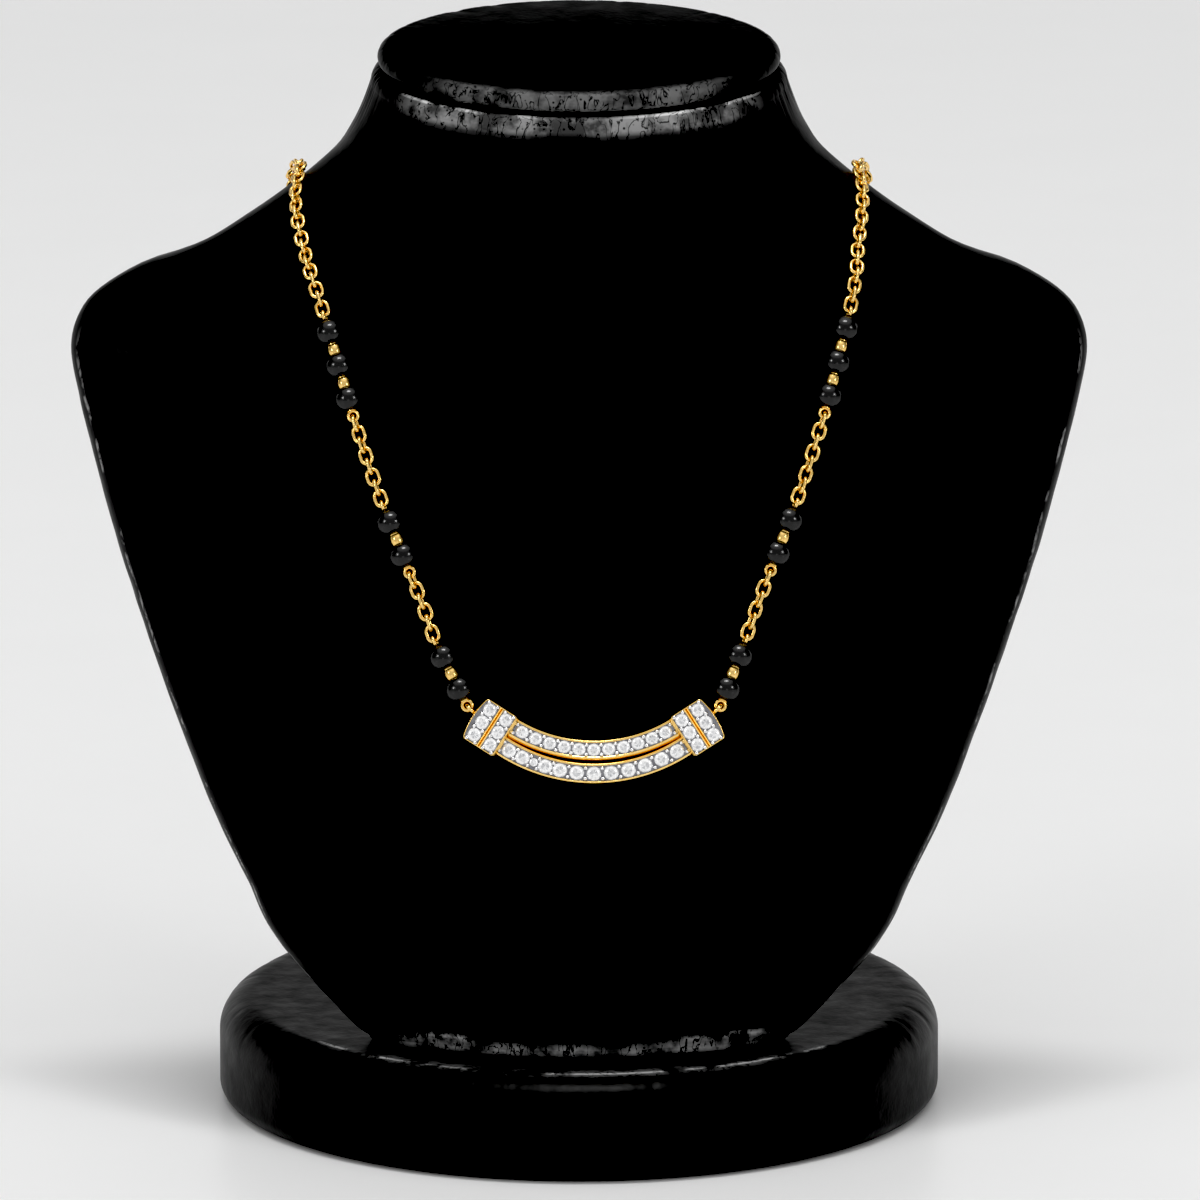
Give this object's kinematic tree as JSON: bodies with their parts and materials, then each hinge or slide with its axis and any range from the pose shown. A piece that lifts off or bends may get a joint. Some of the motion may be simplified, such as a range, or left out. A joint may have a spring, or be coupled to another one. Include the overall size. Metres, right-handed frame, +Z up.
{
  "type": "mangalsutra on neck bust stand",
  "caption": "Short necklace of black beads on gold cable chain with a curved bar pendant set with clear stones, laid round a plain black padded neck bust on a round base.",
  "frame": {"origin": "on the table, under the centre of the round base", "axes": "+Z up, the front with the pendant faces -Y, +X is to the right as seen from the front"},
  "size_m": [0.1668, 0.1194, 0.1784],
  "materials": {
    "leatherette": "black coated fabric, soft sheen, fine wrinkles at the edges",
    "gold": "polished yellow gold; white rhodium on the stone channels' floors and prongs",
    "black_bead": "polished black glass",
    "stone": "clear round cut stone, polished"
  },
  "bodies": {
    "root": {"stand_base": "leatherette", "bust_torso": "leatherette", "neck_cap": "leatherette", "pendant_frame": "gold", "upper_row_stones": "stone", "lower_row_stones": "stone", "left_cap_stones": "stone", "right_cap_stones": "stone", "left_black_bead_1": "black_bead", "left_black_bead_2": "black_bead", "left_black_bead_3": "black_bead", "left_black_bead_4": "black_bead", "left_black_bead_5": "black_bead", "left_black_bead_6": "black_bead", "left_black_bead_7": "black_bead", "right_black_bead_1": "black_bead", "right_black_bead_2": "black_bead", "right_black_bead_3": "black_bead", "right_black_bead_4": "black_bead", "right_black_bead_5": "black_bead", "right_black_bead_6": "black_bead", "right_black_bead_7": "black_bead", "left_gold_bead_1": "gold", "left_gold_bead_2": "gold", "left_gold_bead_3": "gold", "left_gold_bead_4": "gold", "right_gold_bead_1": "gold", "right_gold_bead_2": "gold", "right_gold_bead_3": "gold", "right_gold_bead_4": "gold", "left_eye_pin_1": "gold", "left_eye_pin_2": "gold", "left_eye_pin_3": "gold", "right_eye_pin_1": "gold", "right_eye_pin_2": "gold", "right_eye_pin_3": "gold", "left_lower_chain": "gold", "left_middle_chain": "gold", "left_upper_chain": "gold", "right_lower_chain": "gold", "right_middle_chain": "gold", "right_upper_chain": "gold", "clasp": "gold"}
  },
  "joints": []
}
